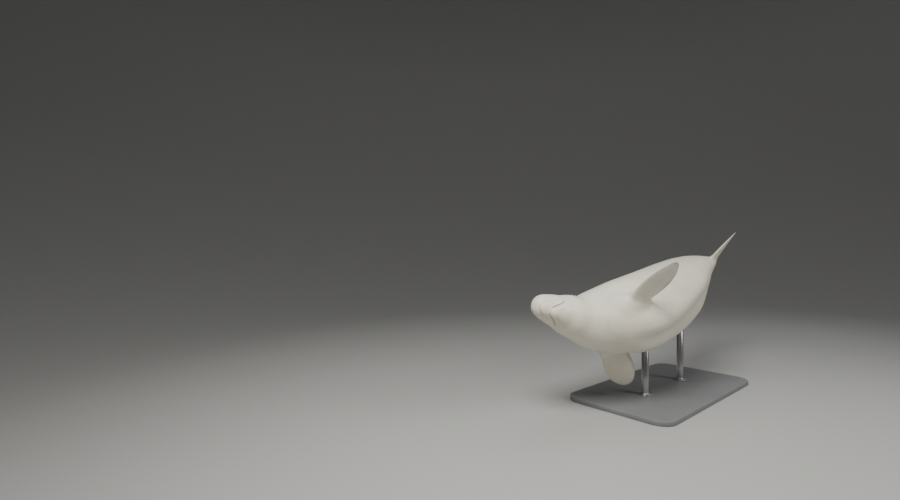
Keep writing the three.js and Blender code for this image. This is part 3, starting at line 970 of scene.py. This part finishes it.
def levelRings(levels):
    turn = math.atan2(rodTops[0][1] - rodTops[1][1], rodTops[0][0] - rodTops[1][0])
    middle = (rodTops[0] + rodTops[1]) / 2
    rings = []
    for inset, z in levels:
        flat = outlineOf(stand["length"], stand["width"], stand["corner"], inset)
        x = flat[:, 0] * math.cos(turn) - flat[:, 1] * math.sin(turn) + middle[0]
        y = flat[:, 0] * math.sin(turn) + flat[:, 1] * math.cos(turn) + middle[1]
        rings.append(np.stack([x, y, np.full(len(x), z)], -1))
    return np.array(rings)


def latheRings(profile, centre, around=72):
    angle = np.linspace(0, 2 * math.pi, around, endpoint=False)
    ring = np.stack([np.cos(angle), np.sin(angle)], -1)
    rings = [np.column_stack([ring * r + centre[:2], np.full(around, centre[2] + z)]) for r, z in profile]
    return np.array(rings)


# Radius and height of a screw's head, and the half width and levels of its hexagonal socket
screw = {
    "head": [(6.6, -1), (6.6, 2.4), (6.0, 3.4), (5.0, 3.9)],
    "socket": 2.9,
    "levels": (3.9, 1.4),
    "around": 24,
}


def screwRings(centre):
    around = screw["around"]
    rings = latheRings(screw["head"], centre, around)
    angle = np.linspace(0, 2 * math.pi, around, endpoint=False)
    hexagon = screw["socket"] / np.cos((angle + math.pi / 6) % (math.pi / 3) - math.pi / 6)
    for z in screw["levels"]:
        flat = np.column_stack([hexagon * np.cos(angle), hexagon * np.sin(angle), np.full(around, z)])
        rings = np.concatenate([rings, (flat + centre)[None]])
    return rings


def baseFinish():
    finish = Finish("stand_base_paint", **{"Coat Weight": 0.15, "Coat Roughness": 0.35})
    where = finish.wire("TexCoord", None, None, "Object")
    cloud = finish.noise(where, 3.5, 4)
    peel = finish.noise(where, 900, 2)
    dust = finish.noise(where, 60, 4, 0.7)
    colour = finish.blend(cloud, (0.19, 0.2, 0.205, 1), (0.235, 0.24, 0.245, 1))
    colour = finish.blend(dust.step(0.6, 0.8) * 0.3, colour, (0.33, 0.33, 0.32, 1))
    normal = finish.bumps(peel, 0.12, 0.0008)
    finish.feed(finish.shader, {"Base Color": colour, "Roughness": 0.42 + 0.18 * dust, "Normal": normal})
    return finish.material


def steelFinish():
    finish = Finish("stand_rod_steel", Metallic=1.0)
    where = finish.wire("TexCoord", None, None, "Object")
    brush = finish.noise(finish.scaled(where, (3, 3, 260)), 4, 3, 0.6)
    cloud = finish.noise(where, 9, 3)
    colour = finish.blend(brush * 0.7 + 0.3 * cloud, (0.46, 0.46, 0.47, 1), (0.64, 0.64, 0.65, 1))
    normal = finish.bumps(brush, 0.1, 0.0006)
    finish.feed(finish.shader, {"Base Color": colour, "Roughness": 0.24 + 0.16 * brush, "Normal": normal})
    return finish.material


def rubberFinish():
    finish = Finish("stand_sleeve_rubber")
    where = finish.wire("TexCoord", None, None, "Object")
    grain = finish.noise(where, 500, 3)
    colour = finish.blend(grain, (0.035, 0.035, 0.037, 1), (0.07, 0.07, 0.072, 1))
    rough = 0.6 + 0.2 * grain
    grained = finish.bumps(grain, 0.3, 0.0005)
    finish.feed(finish.shader, {"Base Color": colour, "Roughness": rough, "Normal": grained})
    return finish.material


def standPiece(name, slot, material, *forms, replaced=(), wrap=False):
    piece = closedPiece(name, *forms, wrap=wrap)
    piece.data.materials.append(material)
    if replaced:
        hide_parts(*replaced)
    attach(piece, "root")


# A rubber sleeve round the rod that follows the skin it meets
def sleeveRings(centre):
    rings = []
    turn = np.linspace(0, 2 * math.pi, 14, endpoint=False)
    middle = stand["rodRadius"] + stand["sleeve"]
    for angle in np.linspace(0, 2 * math.pi, 96, endpoint=False):
        outward = np.array([math.cos(angle), math.sin(angle), 0])
        start = Vector((centre + outward * middle) / 1000)
        start.z = stand["thickness"] / 1000 + 0.05
        place = whale.ray_cast(start, Vector((0, 0, 1)))[1]
        at = centre + outward * middle
        at[2] = place.z * 1000 - 1.5
        lips = [math.cos(k) * outward + math.sin(k) * np.array([0, 0, 1.3]) for k in turn]
        rings.append([at + stand["sleeve"] * lip for lip in lips])
    return np.array(rings)


bpy.context.view_layer.update()
rodTops = bent(np.array([[t, 0, 0] for t in stand["rodAt"]], float)) + shift
thickness, rounding = stand["thickness"], stand["round"]
arc = np.linspace(0, math.pi / 2, 7)
levels = [(2, 0), (0, 2)]
levels += [(rounding * (1 - math.cos(a)), thickness - rounding * (1 - math.sin(a))) for a in arc]
standPiece("stand_base_plate", "base", baseFinish(), levelRings(levels), replaced=["stand_base"])
steel, rubber = steelFinish(), rubberFinish()
for name, top in zip(("front", "rear"), rodTops):
    foot = np.array([top[0], top[1], thickness])
    radius = stand["rodRadius"]
    column = [(radius + 0.6, 28), (radius, 38), (radius, top[2] - thickness)]
    post = latheRings(stand["foot"] + stand["collar"] + column, foot)
    standPiece("stand_post_" + name, "rod", steel, post, replaced=["stand_rod_" + name])
    corners = [math.pi / 4 + k * math.pi / 2 for k in range(4)]
    spots = [foot + [stand["screwAt"] * math.cos(a), stand["screwAt"] * math.sin(a), 14] for a in corners]
    standPiece("stand_screws_" + name, "rod", steel, *[screwRings(spot) for spot in spots])
    standPiece("stand_sleeve_" + name, "rod", rubber, sleeveRings(top), wrap=True)
print("stand built")

studio = {"radius": 17, "cove": 10, "height": 15, "paper": (0.46, 0.46, 0.45, 1), "glow": 0.03, "sky": 0.03}


# A round floor that curves up into a wall all round, so that no edge shows from any side
def studioFloor():
    radius, cove = studio["radius"], studio["cove"]
    bend = np.linspace(0, math.pi / 2, 20)
    profile = [(r, 0) for r in (0.05, 2, 4, radius - cove)]
    profile += [(radius - cove + cove * math.sin(a), cove * (1 - math.cos(a))) for a in bend[1:]]
    profile.append((radius, studio["height"]))
    rings = latheRings(np.array(profile) * 1000, np.array([0, 0, -1.0]), 128)
    grid = Grid()
    grid.add(rings)
    faces = [face for face in grid.faces if max(face) < len(grid.points[0]) + 1]
    floor = meshObject("studio_floor", np.concatenate(grid.points) / 1000, faces)
    paper = studio["paper"]
    glow = {"Emission Color": paper, "Emission Strength": studio["glow"]}
    finish = Finish("studio_paper", Roughness=0.85, **glow)
    where = finish.wire("TexCoord", None, None, "Object")
    colour = finish.blend(finish.noise(where, 0.8, 3), paper, [0.97 * c for c in paper[:3]] + [1])
    finish.feed(finish.shader, {"Base Color": colour})
    floor.data.materials.append(finish.material)


def addLight(name, place, aim, size, power, tint):
    light = bpy.data.lights.new(name, "AREA")
    light.shape = "DISK"
    light.size = size
    light.energy = power
    light.color = tint
    lamp = bpy.data.objects.new(name, light)
    scene.collection.objects.link(lamp)
    lamp.location = place
    lamp.rotation_euler = (Vector(aim) - Vector(place)).to_track_quat("-Z", "Y").to_euler()


studioFloor()
addLight("key", (-2.7, -4.4, 5.4), (-0.4, -0.4, 1), 2.6, 430, (1, 0.985, 0.95))
addLight("side", (4.4, -3, 4.2), (0.1, -0.4, 1), 3, 130, (1, 0.985, 0.96))
addLight("overhead", (0.2, 0.8, 6.2), (0, 0, 1), 3.4, 50, (1, 0.99, 0.97))
addLight("back_fill", (6, 4.5, 3.6), (0.2, 0.2, 1), 3, 25, (0.95, 0.97, 1))
world = bpy.data.worlds.new("studio_sky")
world.use_nodes = True
world.node_tree.nodes["Background"].inputs["Color"].default_value = (0.93, 0.96, 1, 1)
world.node_tree.nodes["Background"].inputs["Strength"].default_value = studio["sky"]
scene.world = world
print("studio lit")

# The camera is level and looks along +Y. The fixed point of the body lies at this place before it, in metres.
view = {"fixedPoint": (1.6575, 4.7792, -0.6861), "lens": 18.452, "sensor": 36}
camera = bpy.data.objects.new("camera", bpy.data.cameras.new("camera"))
camera.data.sensor_width = view["sensor"]
camera.data.lens = view["lens"]
camera.data.clip_end = 100
camera.location = Vector(shift / 1000) - Vector(view["fixedPoint"])
camera.rotation_euler = (math.pi / 2, 0, 0)
scene.collection.objects.link(camera)
scene.camera = camera
